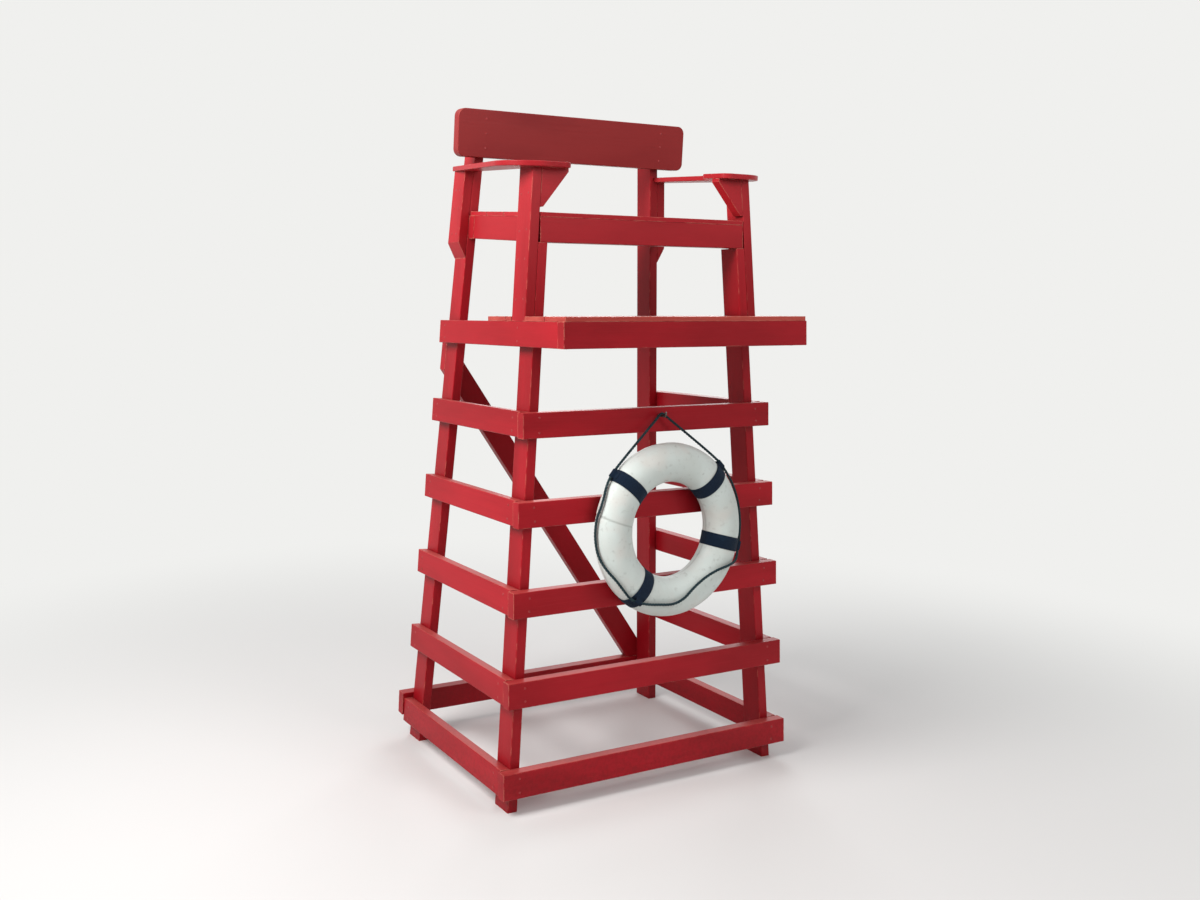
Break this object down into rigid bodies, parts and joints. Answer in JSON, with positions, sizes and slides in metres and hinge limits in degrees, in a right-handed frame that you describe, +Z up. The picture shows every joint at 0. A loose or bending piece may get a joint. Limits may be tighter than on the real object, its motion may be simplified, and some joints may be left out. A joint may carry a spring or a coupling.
{
  "type": "lifeguard tower",
  "caption": "Painted wooden lifeguard tower: an open ladder frame with a foot deck, a high seat with armrests and backrest, and a life ring hung on the front.",
  "frame": {"origin": "on the floor under the middle of the tower's bounding box", "axes": "+Z up, the longest extent; front with the ring and foot deck towards -Y; +X to the sitter's left"},
  "size_m": [1.2424, 1.0685, 2.4967],
  "materials": {
    "red_paint": "weathered gloss paint",
    "maroon_paint": "weathered gloss paint",
    "ring_skin": "slightly dirty",
    "webbing": "woven",
    "line": "laid fibre",
    "hook_steel": "dull galvanised"
  },
  "bodies": {
    "root": {"left_front_leg": "red_paint", "right_front_leg": "red_paint", "left_back_leg": "red_paint", "right_back_leg": "red_paint", "front_rail_1": "red_paint", "front_rail_2": "red_paint", "front_rail_3": "red_paint", "front_rail_4": "red_paint", "front_rail_5": "red_paint", "left_side_rail_1": "red_paint", "left_side_rail_2": "red_paint", "left_side_rail_3": "red_paint", "left_side_rail_4": "red_paint", "left_side_rail_5": "red_paint", "right_side_rail_1": "red_paint", "right_side_rail_2": "red_paint", "right_side_rail_3": "red_paint", "right_side_rail_4": "red_paint", "right_side_rail_5": "red_paint", "back_rail": "red_paint", "back_brace": "red_paint", "left_deck_side_board": "red_paint", "right_deck_side_board": "red_paint", "deck_front_board": "red_paint", "deck_back_joist": "red_paint", "deck_middle_joist": "red_paint", "deck_planks": "red_paint", "left_arm_post": "red_paint", "right_arm_post": "red_paint", "left_arm_stay": "red_paint", "right_arm_stay": "red_paint", "left_armrest": "red_paint", "right_armrest": "red_paint", "left_arm_gusset": "red_paint", "right_arm_gusset": "red_paint", "seat_front_board": "red_paint", "seat_back_board": "red_paint", "left_seat_side_board": "red_paint", "right_seat_side_board": "red_paint", "seat_planks": "red_paint", "backrest_board": "maroon_paint", "life_ring": "ring_skin", "ring_straps": "webbing", "grab_line": "line", "ring_hook": "hook_steel"}
  },
  "joints": []
}
